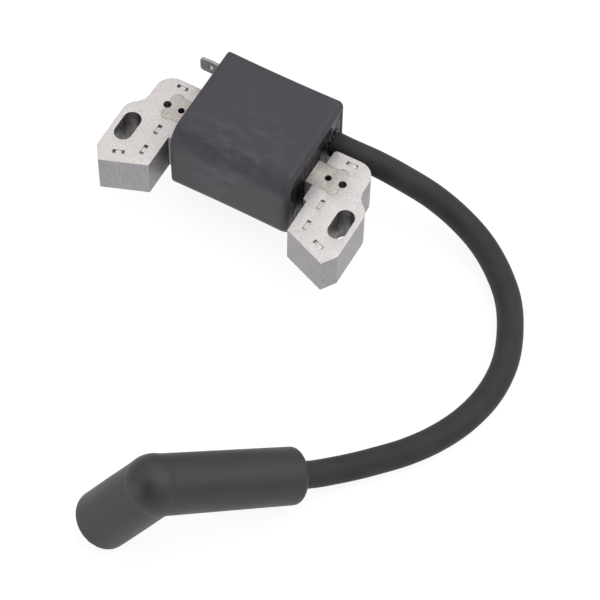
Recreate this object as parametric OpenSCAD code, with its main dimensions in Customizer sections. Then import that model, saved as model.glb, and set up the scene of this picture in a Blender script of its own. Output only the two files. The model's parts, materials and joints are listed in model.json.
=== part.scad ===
// Small-engine ignition coil: a two-legged laminated core, a potted coil block
// with its control board, a high-tension lead and a turned rubber plug boot.
// X runs along the core bar, -Y faces the flywheel, +Z is up through the stack.

/* [Core] */
// Distance between the two mounting slots, centre to centre
slot_pitch = 63.5; // [53:0.1:77]
// Height of the stack of laminations
stack_h = 12.3; // [10:0.1:16]
// Width of a mounting slot
slot_w = 5; // [4.2:0.1:6]
// Length of a mounting slot, end to end
slot_l = 9.5; // [8:0.1:11.4]
// Width of the bar that joins the legs
bar_w = 7.5; // [6:0.1:9]
// Distance from a slot's middle to the leg's outer side
leg_side = 4.05; // [3.7:0.05:5]
// Distance from the slots back to the middle of the bar
bar_y = 11.05; // [10.5:0.05:11.5]
// How far the pole corners reach in front of the slots
pole_reach = 13.1; // [12:0.1:16]
// Width of a leg from its outer side to its front inner edge
leg_w = 15.2; // [13.6:0.1:18]
// Diameter of the locating hole in each end of the bar
bar_hole_d = 1.8; // [1.2:0.1:2.2]
// Gap along the keyed joint between bar and leg
joint_gap = 0.06; // [0.02:0.01:0.1]

/* [Case] */
// Wall of the moulded case
wall = 1.4; // [1:0.1:1.8]
// How far the case stands above and below the core
case_over = 9.5; // [8.6:0.1:12]
// How far the case stands in front of the bar
case_front = 10.2; // [9:0.1:12]
// Gap between the case's ends and the legs
end_gap = 2; // [1.4:0.1:3]
// Radius of the case's top front shoulder
shoulder_r = 5.5; // [4:0.5:7]
// How far the potting stands back from the open end
potting_recess = 0.6; // [0.2:0.1:1]

/* [Windings] */
// Clearance of the inner bobbin round the bar
bobbin_gap = 0.15; // [0.1:0.05:0.3]
// Wall of both bobbins
bobbin_wall = 0.7; // [0.5:0.1:0.9]
// Build-up of the primary winding
primary_t = 1.6; // [1.2:0.1:2]
// Thickness of the wrap between the windings
wrap_t = 0.3; // [0.2:0.05:0.5]
// Build-up of the secondary winding
secondary_t = 1.4; // [1:0.1:1.8]
// Number of slots that the secondary is wound in
secondary_slots = 6; // [4:1:8]
// Flange standing over the secondary winding
flange_over = 0.3; // [0.1:0.1:0.6]

/* [Electronics] */
// Thickness of the circuit board
board_t = 1.2; // [0.8:0.1:1.6]
// Gap between the board and the case's back wall
board_gap = 0.9; // [0.6:0.1:1.4]
// Width of the stop terminal's blade
blade_w = 4.75; // [4.5:0.25:6.3]
// Thickness of the stop terminal's blade
blade_t = 0.8; // [0.5:0.1:0.9]
// How far the stop terminal stands out of the case
blade_out = 6.4; // [6:0.1:8]

/* [Lead and boot] */
// Outside diameter of the high-tension lead
lead_d = 7; // [5:0.1:8.4]
// Depth that the lead is potted into the case
lead_in = 12; // [8:0.5:13]
// Diameter of the lead's conductor strand
strand_d = 2.4; // [1.6:0.1:2.8]
// Outside diameter of the boot where the lead goes in
boot_d = 14.6; // [13.6:0.1:18]
// Outside diameter of the boot's plug mouth
mouth_d = 15.6; // [14.4:0.1:18]
// Bore of the boot's plug mouth
mouth_bore_d = 9.2; // [9:0.1:10]
// Length of the mouth that grips the plug
grip_l = 7.5; // [5:0.5:8]
// Length of the boot from its elbow to the lead end
boot_l = 39.9; // [36:0.1:46]
// Length of the boot from its elbow to its mouth
mouth_l = 24.1; // [20:0.1:29]
// Angle that the boot turns through at its elbow
elbow_turn = 83; // [66:1:95]
// Radial clearance of the boot on the lead
boot_fit = 0.08; // [0.05:0.01:0.1]
// Bore of the clip that snaps on the plug's terminal nut
clip_bore_d = 6.4; // [6.3:0.05:6.6]

/* [Hidden] */
$fn = 64;

// the core, measured from the mid plane, the slots' centre line and the stack's foot
slot_x = slot_pitch / 2;
leg_outer = slot_x + leg_side;
leg_inner = leg_outer - leg_w;
lobe_step = 1.2;
lobe_inner = leg_inner - lobe_step;
lobe_over = 4.9;
lobe_back = bar_y + bar_w / 2 + lobe_over;
lobe_r = 4.8;
waist_r = [4.5, 5];
waist_turn = 54;
waist_in = (waist_r[0] + waist_r[1]) * (1 - cos(waist_turn));
waist_len = (waist_r[0] + waist_r[1]) * sin(waist_turn);
waist_y = 4.2;
lobe_outer = leg_outer - waist_in;
step_y = 1.9;
pole_back = 4.8;
bar_front_y = bar_y - bar_w / 2;
bar_back_y = bar_y + bar_w / 2;

// the keyed joint between bar and leg: a head with two round lobes
head_r = 1.6;
head_x = leg_inner + 4;
head_y = bar_w / 2 - 1;
key_hole_r = 1.1;
bar_hole_x = leg_inner + 1.35;

// lanced marks that lock the laminations: x from the slot, y, turn
mark_size = [3.2, 1.15, 0.5];
marks = [[-6.35, 17.7, 0], [-7.5, 2.8, 90], [-7.55, -4.5, 90], [-2.15, -8.3, -21]];

// the case round the bar
slip = 0.05;
build = bobbin_gap + 2 * bobbin_wall + primary_t + wrap_t + slip + secondary_t + flange_over;
lead_slack = [0.1, 0.2];
case_x = lobe_inner - end_gap;
case_lo_y = bar_front_y - case_front;
case_hi_y = bar_back_y + build + lead_slack[0] + lead_d + lead_slack[1] + wall;
case_lo_z = -case_over;
case_hi_z = stack_h + case_over;
slope_top_z = 1.2;
slope_turn = 34;
edge_r = 1.5;
inner_back_y = case_hi_y - wall;
inner_x = case_x - wall;

// the windings along the bar
bobbin_end_gap = 1.3;
bobbin_x = inner_x - bobbin_end_gap;
flange_t = 0.8;
primary_x = bobbin_x - flange_t;
secondary_end_gap = 0.9;
secondary_x = primary_x - secondary_end_gap;
primary_in = bobbin_gap + bobbin_wall;
wrap_in = primary_in + primary_t;
secondary_in = wrap_in + wrap_t + slip;
coil_in = secondary_in + bobbin_wall;
slot_pitch_x = (2 * secondary_x - flange_t) / secondary_slots;

// the board, upright behind the windings, and the lead beside it
board_y = inner_back_y - board_gap - board_t;
lead_y = inner_back_y - lead_slack[1] - lead_d / 2;
lead_z = stack_h / 2 + 2.55;
lead_end_x = case_x - lead_in;
pin_r = 0.6;
pin_bite = 3;
pin_out = 3.4;
board_edge_gap = 1.3;
board_lo = [-bobbin_x, case_lo_z + wall + board_edge_gap];
board_hi = [lead_end_x - pin_out - board_edge_gap, case_hi_z - wall - board_edge_gap];
blade_over = 4;
blade_z = stack_h + blade_over;
blade_in = 4.4;

// the part stands on the case, centred on the coil without its lead
place_y = -(case_hi_y - pole_reach) / 2;
place_z = case_over;

// the lead's route in the part's own frame, from the case to the boot
lead_route = [
    [17.4, 15.8, 18.2], [21.6, 15.8, 18], [29.8, 16.6, 16.8], [38, 17.4, 14.4],
    [45.8, 18, 11.4], [53.8, 17.2, 8.4], [61.8, 14.6, 6], [69.2, 9.8, 4.4],
    [75.6, 3.2, 3.7], [80.4, -5.4, 3.6], [83.3, -14.4, 3.6], [83.8, -24, 3.6],
    [81.9, -33.4, 3.6], [78.2, -41.8, 3.6], [73.2, -49.2, 3.6], [67.4, -55.6, 3.6],
    [63.2, -59.8, 3.6], [59.7, -63.3, 4.05], [56.4, -66.9, 5.2], [53.1, -70.5, 7.2]];
lead_sides = 12;

// the boot's pose: where the lead goes in, and how its long leg lies
boot_entry = [53.1, -70.5, 7.2];
boot_tilt = 25;
boot_heading = 48.35;
boot_roll = 12.8;
boot_edge_r = 1.6;
knuckle_r = boot_d / 2 + 0.52;
bore_in = 11.5;
strand_bite = 4;
mouth_chamfer = 0.4;
clip_room = 0.2;
clip_top = 2.6;
clip_l = 8.5;
clip_t = 0.5;
crimp_x = [4.2, 11];
crimp_t = 0.8;
spring_r = 0.35;

function arc(c, r, a0, a1, n = 8) =
    [for (i = [0:n]) c + r * [cos(a0 + (a1 - a0) * i / n), sin(a0 + (a1 - a0) * i / n)]];

// outline of the right leg, anticlockwise from the pole's inner corner
function leg_points() = concat(
    [[leg_inner, -pole_reach + pole_back],
     [leg_outer - 2.8, -pole_reach],
     [leg_outer - 0.1, -pole_reach + 4]],
    arc([leg_outer - waist_r[0], waist_y], waist_r[0], 0, waist_turn),
    arc([lobe_outer + waist_r[1], waist_y + waist_len], waist_r[1], 180 + waist_turn, 180),
    arc([lobe_outer - lobe_r, lobe_back - lobe_r], lobe_r, 0, 90, 10),
    arc([lobe_inner + 1, lobe_back - 1], 1, 90, 180, 4),
    [[lobe_inner, step_y + 0.4], [leg_inner, step_y]]);

module place() {
    translate([0, place_y, place_z]) children();
}

module boot_place() {
    translate(boot_entry) rotate([0, boot_tilt, boot_heading])
        rotate([boot_roll, 0, 0]) translate([-boot_l, 0, 0]) children();
}

module mouth_place() {
    rotate([0, 180 + 90 - elbow_turn, 0]) children();
}

// a solid along X round the bar, d from the bar's faces, between two x
module ring_block(d, x0, x1) {
    r = min(d, 4);
    translate([x0, bar_y, stack_h / 2]) rotate([90, 0, 90]) linear_extrude(x1 - x0) union() {
        square([bar_w + 2 * d, stack_h + 2 * (d - r)], center = true);
        square([bar_w + 2 * (d - r), stack_h + 2 * d], center = true);
        for (sy = [-1, 1], sz = [-1, 1])
            translate([sy * (bar_w / 2 + d - r), sz * (stack_h / 2 + d - r)]) circle(r);
    }
}

// a tube along X round the bar, from one distance to another
module ring(d0, d1, x0, x1) {
    difference() {
        ring_block(d1, x0, x1);
        ring_block(d0, x0 - 1, x1 + 1);
    }
}

// the head of the bar, grown by g, from the leg's edge to its tip
module head(g, h) {
    linear_extrude(h) union() {
        translate([lobe_inner - 1, bar_y - bar_w / 2 - g])
            square([head_x - lobe_inner + 1, bar_w + 2 * g]);
        translate([head_x, bar_y - head_y - g]) square([head_r + g, 2 * head_y + 2 * g]);
        for (s = [-1, 1]) translate([head_x, bar_y + s * head_y]) circle(head_r + g);
    }
}

module slot(h) {
    linear_extrude(h) union() {
        square([slot_w, slot_l - slot_w], center = true);
        for (s = [-1, 1]) translate([0, s * (slot_l - slot_w) / 2]) circle(slot_w / 2);
    }
}

module lanced_marks() {
    for (m = marks, z = [stack_h - mark_size[2], -1])
        translate([slot_x + m[0], m[1], z]) rotate(m[2])
            translate([-mark_size[0] / 2, -mark_size[1] / 2, 0])
                cube([mark_size[0], mark_size[1], mark_size[2] + 1]);
}

module core_leg() {
    color("gainsboro") difference() {
        linear_extrude(stack_h) polygon(leg_points());
        translate([0, 0, -1]) head(joint_gap, stack_h + 2);
        translate([slot_x, 0, -1]) slot(stack_h + 2);
        translate([head_x + head_r, bar_y, -1]) cylinder(r = key_hole_r, h = stack_h + 2);
        lanced_marks();
    }
}

module left_core_leg() {
    mirror([1, 0, 0]) core_leg();
}

module right_core_leg() {
    core_leg();
}

module core_bar() {
    color("silver") difference() {
        union() {
            translate([-lobe_inner, bar_front_y, 0]) cube([2 * lobe_inner, bar_w, stack_h]);
            for (m = [0, 1]) mirror([m, 0, 0]) head(0, stack_h);
        }
        for (s = [-1, 1]) {
            translate([s * (head_x + head_r), bar_y, -1])
                cylinder(r = key_hole_r, h = stack_h + 2);
            translate([s * bar_hole_x, bar_y, -1]) cylinder(d = bar_hole_d, h = stack_h + 2);
        }
    }
}

// the case's section, set in by d: a loaf with a sloped front foot
function case_points(d) =
    let(y0 = case_lo_y + d, y1 = case_hi_y - d, z0 = case_lo_z + d, z1 = case_hi_z - d,
        r = shoulder_r - d, e = max(edge_r - d, 0.4),
        zs = slope_top_z + d * tan(45 - slope_turn / 2) * 0.5,
        ys = y0 + (zs - z0) * tan(slope_turn))
    concat(
        [[y0, zs], [ys, z0]],
        arc([y1 - e, z0 + e], e, -90, 0, 4),
        arc([y1 - e, z1 - e], e, 0, 90, 4),
        arc([y0 + r, z1 - r], r, 90, 180, 10));

module case_block(d, x0, x1) {
    translate([x0, 0, 0]) rotate([90, 0, 90]) linear_extrude(x1 - x0) polygon(case_points(d));
}

module blade(t) {
    translate([-case_x - blade_out, board_y - blade_t - t, blade_z - blade_w / 2 - t])
        cube([blade_out + wall + blade_in, blade_t + 2 * t, blade_w + 2 * t]);
}

module bar_passage(t, x0, x1) {
    translate([x0, bar_front_y - t, -t]) cube([x1 - x0, bar_w + 2 * t, stack_h + 2 * t]);
}

module coil_case() {
    color("dimgray") difference() {
        case_block(0, -case_x, case_x);
        case_block(wall, -inner_x, case_x + 1);
        bar_passage(0.1, -case_x - 1, 0);
        blade(slip);
    }
}

module potting_resin() {
    color("black") difference() {
        case_block(wall + 0.02, -inner_x, case_x - potting_recess);
        ring_block(build, -bobbin_x, bobbin_x);
        bar_passage(0, -case_x, case_x);
        blade(0);
        translate([board_lo[0], board_y, board_lo[1]])
            cube([board_hi[0] - board_lo[0], board_t, board_hi[1] - board_lo[1]]);
        lead_body(lead_end_x - pin_out - 1, case_x);
        ground_strap_shape();
        component_space();
        wires();
        secondary_wire_shape();
    }
}

// the clear space in front of the board that the components stand in
module component_space() {
    translate([board_lo[0], bar_back_y + build, board_lo[1] + 0.6])
        cube([board_hi[0] - board_lo[0], board_y - bar_back_y - build,
              board_hi[1] - board_lo[1] - 1.2]);
}

module primary_bobbin() {
    color("ivory") union() {
        ring(bobbin_gap, primary_in, -bobbin_x, bobbin_x);
        for (s = [-1, 1])
            ring(bobbin_gap, wrap_in, s * (bobbin_x - flange_t / 2) - flange_t / 2,
                 s * (bobbin_x - flange_t / 2) + flange_t / 2);
    }
}

module primary_winding() {
    color("peru") ring(primary_in, wrap_in, -primary_x, primary_x);
}

module winding_wrap() {
    color("khaki") ring(wrap_in, wrap_in + wrap_t, -primary_x, primary_x);
}

module secondary_bobbin() {
    color("white") union() {
        ring(secondary_in, coil_in, -secondary_x, secondary_x);
        for (i = [0:secondary_slots])
            ring(secondary_in, build, -secondary_x + i * slot_pitch_x,
                 -secondary_x + i * slot_pitch_x + flange_t);
    }
}

module secondary_winding() {
    color("chocolate") for (i = [0:secondary_slots - 1])
        ring(coil_in, coil_in + secondary_t, -secondary_x + i * slot_pitch_x + flange_t,
             -secondary_x + (i + 1) * slot_pitch_x);
}

// wires from the primary's ends to the board, square where they are bent
primary_wire_z = [2, stack_h - 2.4];
primary_wire_x = -bobbin_x + flange_t / 2;

module wires() {
    for (z = primary_wire_z)
        translate([primary_wire_x, bar_back_y + wrap_in, z]) rotate([-90, 0, 0])
            cylinder(r = 0.3, h = board_y - bar_back_y - wrap_in);
}

module primary_wires() {
    color("darkorange") wires();
}

module circuit_board() {
    color("darkgreen") translate([board_lo[0], board_y, board_lo[1]])
        cube([board_hi[0] - board_lo[0], board_t, board_hi[1] - board_lo[1]]);
}

// a component on the board's front, middle at x and z, standing out by h
module on_board(x, z) {
    translate([board_lo[0] + x, board_y, board_lo[1] + z]) children();
}

module power_transistor() {
    color("black") on_board(9, 15.6) union() {
        translate([-3.3, -2.4, -3]) cube([6.6, 2.4, 6]);
        for (s = [-1, 0, 1]) translate([s * 2.3 - 0.4, -1.2, -5]) cube([0.8, 0.5, 2.2]);
        for (s = [-1, 0, 1]) translate([s * 2.3 - 0.4, -1.2, -5.4]) cube([0.8, 1.2, 0.5]);
    }
}

module driver_transistor() {
    color("black") on_board(2.6, 7.6) translate([-1.5, -1.3, -1]) cube([3, 1.3, 2]);
}

module board_resistors() {
    color("tan") for (z = [1.6, 4.2]) on_board(10, z) union() {
        translate([-1.6, -2.2, 0]) rotate([0, 90, 0]) cylinder(r = 0.9, h = 3.2);
        for (s = [-1, 1]) translate([s * 1.4 - 0.25, -1.8, -0.25]) cube([0.5, 1.8, 0.5]);
    }
}

module clamp_diode() {
    color("darkred") on_board(2.6, 11.6) union() {
        translate([-1.7, -2, 0]) rotate([0, 90, 0]) cylinder(r = 1, h = 3.4);
        for (s = [-1, 1]) translate([s * 1.5 - 0.25, -1.6, -0.25]) cube([0.5, 1.6, 0.5]);
    }
}

module board_capacitor() {
    color("orange") on_board(4.6, 2.6) translate([-1.8, -2.6, -1.6]) cube([3.6, 2.6, 3.2]);
}

// the small sensing coil beside the windings
trigger_x = 9.6;
trigger_z = 8.4;
trigger_l = 4;
trigger_y = -2.6;

module trigger_bobbin() {
    color("ivory") on_board(trigger_x, trigger_z) translate([-trigger_l / 2, trigger_y, 0])
        rotate([0, 90, 0]) union() {
            cylinder(r = 0.8, h = trigger_l);
            for (x = [0, trigger_l - 0.5]) translate([0, 0, x]) cylinder(r = 2, h = 0.5);
        }
}

module trigger_winding() {
    color("peru") on_board(trigger_x, trigger_z)
        translate([-trigger_l / 2 + 0.5, trigger_y, 0]) rotate([0, 90, 0])
            difference() {
                cylinder(r = 1.7, h = trigger_l - 1);
                translate([0, 0, -1]) cylinder(r = 0.8, h = trigger_l + 1);
            }
}

module stop_terminal() {
    color("silver") difference() {
        blade(0);
        translate([-case_x - blade_out + 3.2, board_y + 1, blade_z]) rotate([90, 0, 0])
            cylinder(d = 1.6, h = blade_t + 2);
        for (s = [-1, 1])
            translate([-case_x - blade_out, board_y - blade_t / 2, blade_z + s * blade_w / 2])
                rotate([0, 45, 0]) cube([0.9, blade_t + 1, 0.9], center = true);
    }
}

// a strip from the board's foot to the back of the bar
strap_x = [-inner_x + 0.35, -inner_x + 0.75];
strap_z = [3.6, 6.4];

module ground_strap_shape() {
    union() {
        translate([strap_x[0], bar_back_y, strap_z[0]])
            cube([strap_x[1] - strap_x[0], board_y + board_t - bar_back_y,
                  strap_z[1] - strap_z[0]]);
        translate([strap_x[0], bar_back_y, strap_z[0]])
            cube([0.9, 0.4, strap_z[1] - strap_z[0]]);
    }
}

module ground_strap() {
    color("gold") ground_strap_shape();
}

// the lead's space along X, from one place to another
module lead_body(x0, x1) {
    translate([x0, lead_y, lead_z]) rotate([0, 90, 0]) cylinder(d = lead_d, h = x1 - x0);
}

module lead_coil_end() {
    color("dimgray") difference() {
        lead_body(lead_end_x, case_x);
        translate([lead_end_x - 1, lead_y, lead_z]) rotate([0, 90, 0])
            cylinder(r = pin_r, h = pin_bite + 1);
    }
}

module high_tension_pin() {
    color("gold") translate([lead_end_x - pin_out, lead_y, lead_z]) rotate([0, 90, 0])
        union() {
            cylinder(r = pin_r, h = pin_out + pin_bite);
            translate([0, 0, pin_out - 1]) cylinder(r = 2.2, h = 1);
        }
}

// from a wound slot back to the pin
module secondary_wire_shape() {
    y0 = bar_back_y + coil_in + secondary_t;
    translate([lead_end_x - pin_out + 0.8, y0, lead_z]) rotate([-90, 0, 0])
        cylinder(r = 0.25, h = lead_y - pin_r - y0 + 0.03);
}

module secondary_wire() {
    color("chocolate") secondary_wire_shape();
}

// the free lead: one tube swept along its route
function unit(v) = v / norm(v);
function along(p, i) = unit(p[min(i + 1, len(p) - 1)] - p[max(i - 1, 0)]);
function ring_at(p, i, first, last) =
    let(t = i == 0 ? first : i == len(p) - 1 ? last : along(p, i),
        s = unit(cross([0, 0, 1], t)), u = cross(t, s))
    [for (k = [0:lead_sides - 1])
        p[i] + lead_d / 2 * (cos(k * 360 / lead_sides) * s + sin(k * 360 / lead_sides) * u)];

module swept_tube(p, first, last) {
    n = lead_sides;
    m = len(p);
    points = [for (i = [0:m - 1]) each ring_at(p, i, first, last)];
    sides = [for (i = [0:m - 2], k = [0:n - 1])
        [i * n + k, i * n + (k + 1) % n, (i + 1) * n + (k + 1) % n, (i + 1) * n + k]];
    polyhedron(points, concat([[for (k = [n - 1:-1:0]) k]], sides,
                              [[for (k = [0:n - 1]) (m - 1) * n + k]]), convexity = 6);
}

boot_axis = [cos(boot_tilt) * cos(boot_heading), cos(boot_tilt) * sin(boot_heading),
             -sin(boot_tilt)];

module ht_lead() {
    color("dimgray") swept_tube(lead_route, [1, 0, 0], -boot_axis);
}

// from here on, X runs from the boot's elbow to the lead
module lead_boot_end() {
    color("dimgray") difference() {
        translate([bore_in, 0, 0]) rotate([0, 90, 0]) cylinder(d = lead_d, h = boot_l - bore_in);
        translate([bore_in - 1, 0, 0]) rotate([0, 90, 0]) cylinder(d = strand_d, h = strand_bite + 1);
    }
}

module lead_strand() {
    color("peru") translate([crimp_x[0], 0, 0]) rotate([0, 90, 0])
        cylinder(d = strand_d, h = bore_in + strand_bite - crimp_x[0]);
}

// the mouth's bore: room for the clip, the grip, and a chamfered lip
module mouth_bore() {
    r = mouth_bore_d / 2;
    grip_end = mouth_l - mouth_chamfer;
    rotate_extrude() polygon([[0, -1], [r + clip_room, -1],
        [r + clip_room, grip_end - grip_l - clip_room], [r, grip_end - grip_l], [r, grip_end],
        [r + mouth_chamfer + 1, mouth_l + 1], [0, mouth_l + 1]]);
}

module plug_boot() {
    color("dimgray") difference() {
        union() {
            rotate([0, 90, 0]) rotate_extrude() polygon(concat(
                [[0, 0], [knuckle_r, 0], [boot_d / 2 + 0.36, 12]],
                arc([boot_d / 2 - boot_edge_r, boot_l - boot_edge_r], boot_edge_r, 0, 90, 6),
                [[0, boot_l]]));
            sphere(r = knuckle_r);
            mouth_place() rotate_extrude() polygon(
                [[0, 0], [knuckle_r, 0], [mouth_d / 2, 8], [mouth_d / 2, mouth_l - 0.6],
                 [mouth_d / 2 - 0.6, mouth_l], [0, mouth_l]]);
        }
        translate([-1, 0, 0]) rotate([0, 90, 0])
            cylinder(r = lead_d / 2 + boot_fit, h = boot_l + 2);
        mouth_place() mouth_bore();
    }
}

module plug_clip() {
    color("silver") union() {
        difference() {
            translate([crimp_x[0], 0, 0]) rotate([0, 90, 0])
                cylinder(r = strand_d / 2 + slip + crimp_t, h = crimp_x[1] - crimp_x[0]);
            translate([crimp_x[0] - 1, 0, 0]) rotate([0, 90, 0])
                cylinder(r = strand_d / 2 + slip, h = crimp_x[1] - crimp_x[0] + 2);
        }
        mouth_place() difference() {
            translate([0, 0, clip_top]) cylinder(r = clip_bore_d / 2 + clip_t, h = clip_l);
            translate([0, 0, clip_top + clip_t]) cylinder(d = clip_bore_d, h = clip_l);
        }
        translate([0.2, -1, -3.3]) cube([4.8, 2, 2]);
    }
}

module clip_spring() {
    color("silver") mouth_place() translate([0, 0, clip_top + clip_l - 2])
        rotate_extrude() translate([clip_bore_d / 2 + clip_t + spring_r, 0]) circle(spring_r);
}

place() left_core_leg();
place() right_core_leg();
place() core_bar();
place() coil_case();
place() potting_resin();
place() primary_bobbin();
place() primary_winding();
place() winding_wrap();
place() secondary_bobbin();
place() secondary_winding();
place() primary_wires();
place() circuit_board();
place() power_transistor();
place() driver_transistor();
place() board_resistors();
place() clamp_diode();
place() board_capacitor();
place() trigger_bobbin();
place() trigger_winding();
place() stop_terminal();
place() ground_strap();
place() high_tension_pin();
place() secondary_wire();
place() lead_coil_end();
ht_lead();
boot_place() lead_boot_end();
boot_place() lead_strand();
boot_place() plug_boot();
boot_place() plug_clip();
boot_place() clip_spring();
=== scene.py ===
import json
import math

import bmesh
import bpy
from mathutils import Matrix, Vector, noise
from mathutils.geometry import delaunay_2d_cdt


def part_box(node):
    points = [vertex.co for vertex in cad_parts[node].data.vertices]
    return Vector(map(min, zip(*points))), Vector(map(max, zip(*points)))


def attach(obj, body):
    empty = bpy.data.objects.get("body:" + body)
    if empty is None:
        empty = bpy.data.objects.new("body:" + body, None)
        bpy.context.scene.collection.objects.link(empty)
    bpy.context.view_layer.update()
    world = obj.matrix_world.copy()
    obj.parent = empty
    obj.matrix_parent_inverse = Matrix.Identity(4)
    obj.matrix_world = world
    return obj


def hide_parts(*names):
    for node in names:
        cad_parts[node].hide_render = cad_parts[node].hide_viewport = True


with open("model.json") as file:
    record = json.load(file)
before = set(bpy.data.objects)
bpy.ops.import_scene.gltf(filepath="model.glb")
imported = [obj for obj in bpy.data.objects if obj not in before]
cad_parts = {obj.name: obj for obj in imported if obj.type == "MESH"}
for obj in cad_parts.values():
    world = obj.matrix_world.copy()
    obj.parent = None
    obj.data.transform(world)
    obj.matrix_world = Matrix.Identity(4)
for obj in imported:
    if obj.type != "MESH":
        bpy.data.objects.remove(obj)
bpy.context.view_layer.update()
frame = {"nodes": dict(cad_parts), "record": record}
nodes = frame["nodes"]
record = frame["record"]
mm = 0.001


# camera and lead come first, because the rest is placed round them

cameraSetup = {
    "place": (0.20634, -0.36186, 0.60998),
    "turn": (32.268, -0.718, 28.849),     # degrees about X, Y, Z
    "lens": 165.985,
    "sensor": 36,
    "clip": (0.01, 20),
}

leadSetup = {
    "diameter": 7 * mm,
    "length": 151.7 * mm,
    "sides": 32,
    "stepsPerSpan": 8,
    "route": [                            # the free lead from the case to the boot, in mm
        (17.4, 15.8, 18.2), (21.6, 15.8, 18), (29.8, 16.6, 16.8), (38, 17.4, 14.4),
        (45.8, 18, 11.4), (53.8, 17.2, 8.4), (61.8, 14.6, 6), (69.2, 9.8, 4.4),
        (75.6, 3.2, 3.7), (80.4, -5.4, 3.6), (83.3, -14.4, 3.6), (83.8, -24, 3.6),
        (81.9, -33.4, 3.6), (78.2, -41.8, 3.6), (73.2, -49.2, 3.6), (67.4, -55.6, 3.6),
        (63.2, -59.8, 3.6), (59.7, -63.3, 4.05), (56.4, -66.9, 5.2), (53.1, -70.5, 7.2),
    ],
}


def makeCamera(s):
    data = bpy.data.cameras.new("camera")
    data.lens = s["lens"]
    data.sensor_width = s["sensor"]
    data.clip_start, data.clip_end = s["clip"]
    camera = bpy.data.objects.new("camera", data)
    camera.location = s["place"]
    camera.rotation_euler = [math.radians(a) for a in s["turn"]]
    bpy.context.collection.objects.link(camera)
    bpy.context.scene.camera = camera


def linkObject(name, mesh, material=None):
    obj = bpy.data.objects.new(name, mesh)
    bpy.context.collection.objects.link(obj)
    if material:
        mesh.materials.clear()
        mesh.materials.append(material)
    return obj


def smoothShade(mesh, angle):
    mesh.shade_smooth()
    mesh.set_sharp_from_angle(angle=math.radians(angle))


def fromBmesh(name, bm, material, angle=35):
    mesh = bpy.data.meshes.new(name)
    bm.to_mesh(mesh)
    bm.free()
    smoothShade(mesh, angle)
    return linkObject(name, mesh, material)


# materials

def linear(hexColour):
    parts = [int(hexColour[i:i + 2], 16) / 255 for i in (1, 3, 5)]
    return [p / 12.92 if p <= 0.04045 else ((p + 0.055) / 1.055) ** 2.4 for p in parts] + [1]


def addNode(tree, kind, settings=None, links=None):
    # a link's source is a socket, or a node whose first output is meant
    node = tree.nodes.new(kind)
    for name, value in (settings or {}).items():
        if isinstance(name, int) or name in node.inputs:
            node.inputs[name].default_value = value
        else:
            setattr(node, name, value)
    for name, source in (links or {}).items():
        socket = source.outputs[0] if isinstance(source, bpy.types.Node) else source
        tree.links.new(socket, node.inputs[name])
    return node


def startMaterial(name):
    material = bpy.data.materials.new(name)
    material.use_nodes = True
    material.node_tree.nodes.clear()
    return material, material.node_tree


def addShader(tree, settings, links):
    shader = addNode(tree, "ShaderNodeBsdfPrincipled", settings, links)
    addNode(tree, "ShaderNodeOutputMaterial", {}, {"Surface": shader})


def grain(tree, size, stretch=(1, 1, 1), detail=3, rough=0.5, offset=(0, 0, 0)):
    # noise whose features are about size metres across, drawn out along each axis by stretch
    where = addNode(tree, "ShaderNodeTexCoord")
    turned = addNode(tree, "ShaderNodeMapping",
                     {"Location": offset, "Scale": [1 / (size * k) for k in stretch]},
                     {"Vector": where.outputs["Object"]})
    return addNode(tree, "ShaderNodeTexNoise",
                   {"Scale": 1, "Detail": detail, "Roughness": rough}, {"Vector": turned})


def tinted(tree, pattern, span, first, second, most=1):
    # first where a pattern is below its span, and most of the way to second above it
    share = addNode(tree, "ShaderNodeMapRange",
                    {"From Min": span[0], "From Max": span[1], "To Max": most}, {"Value": pattern})
    mix = addNode(tree, "ShaderNodeMix", {"data_type": "RGBA", 7: linear(second)}, {0: share})
    if isinstance(first, str):
        mix.inputs[6].default_value = linear(first)
    else:
        tree.links.new(first, mix.inputs[6])
    return mix.outputs[2]


def nearShare(tree, middle, full, reach):
    # 1 within full of a place on the piece, and 0 past reach
    where = addNode(tree, "ShaderNodeTexCoord")
    distance = addNode(tree, "ShaderNodeVectorMath", {"operation": "DISTANCE", 1: middle},
                       {0: where.outputs["Object"]})
    return addNode(tree, "ShaderNodeMapRange",
                   {"From Min": full, "From Max": reach, "To Min": 1, "To Max": 0},
                   {"Value": distance.outputs["Value"]})


def sideShare(tree):
    # 1 on upright faces and 0 on flat ones
    normal = addNode(tree, "ShaderNodeNewGeometry").outputs["Normal"]
    parts = addNode(tree, "ShaderNodeSeparateXYZ", {}, {0: normal})
    height = addNode(tree, "ShaderNodeMath", {"operation": "ABSOLUTE"}, {0: parts.outputs[2]})
    return addNode(tree, "ShaderNodeMapRange",
                   {"From Min": 0.2, "From Max": 0.8, "To Min": 1, "To Max": 0}, {"Value": height})


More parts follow.
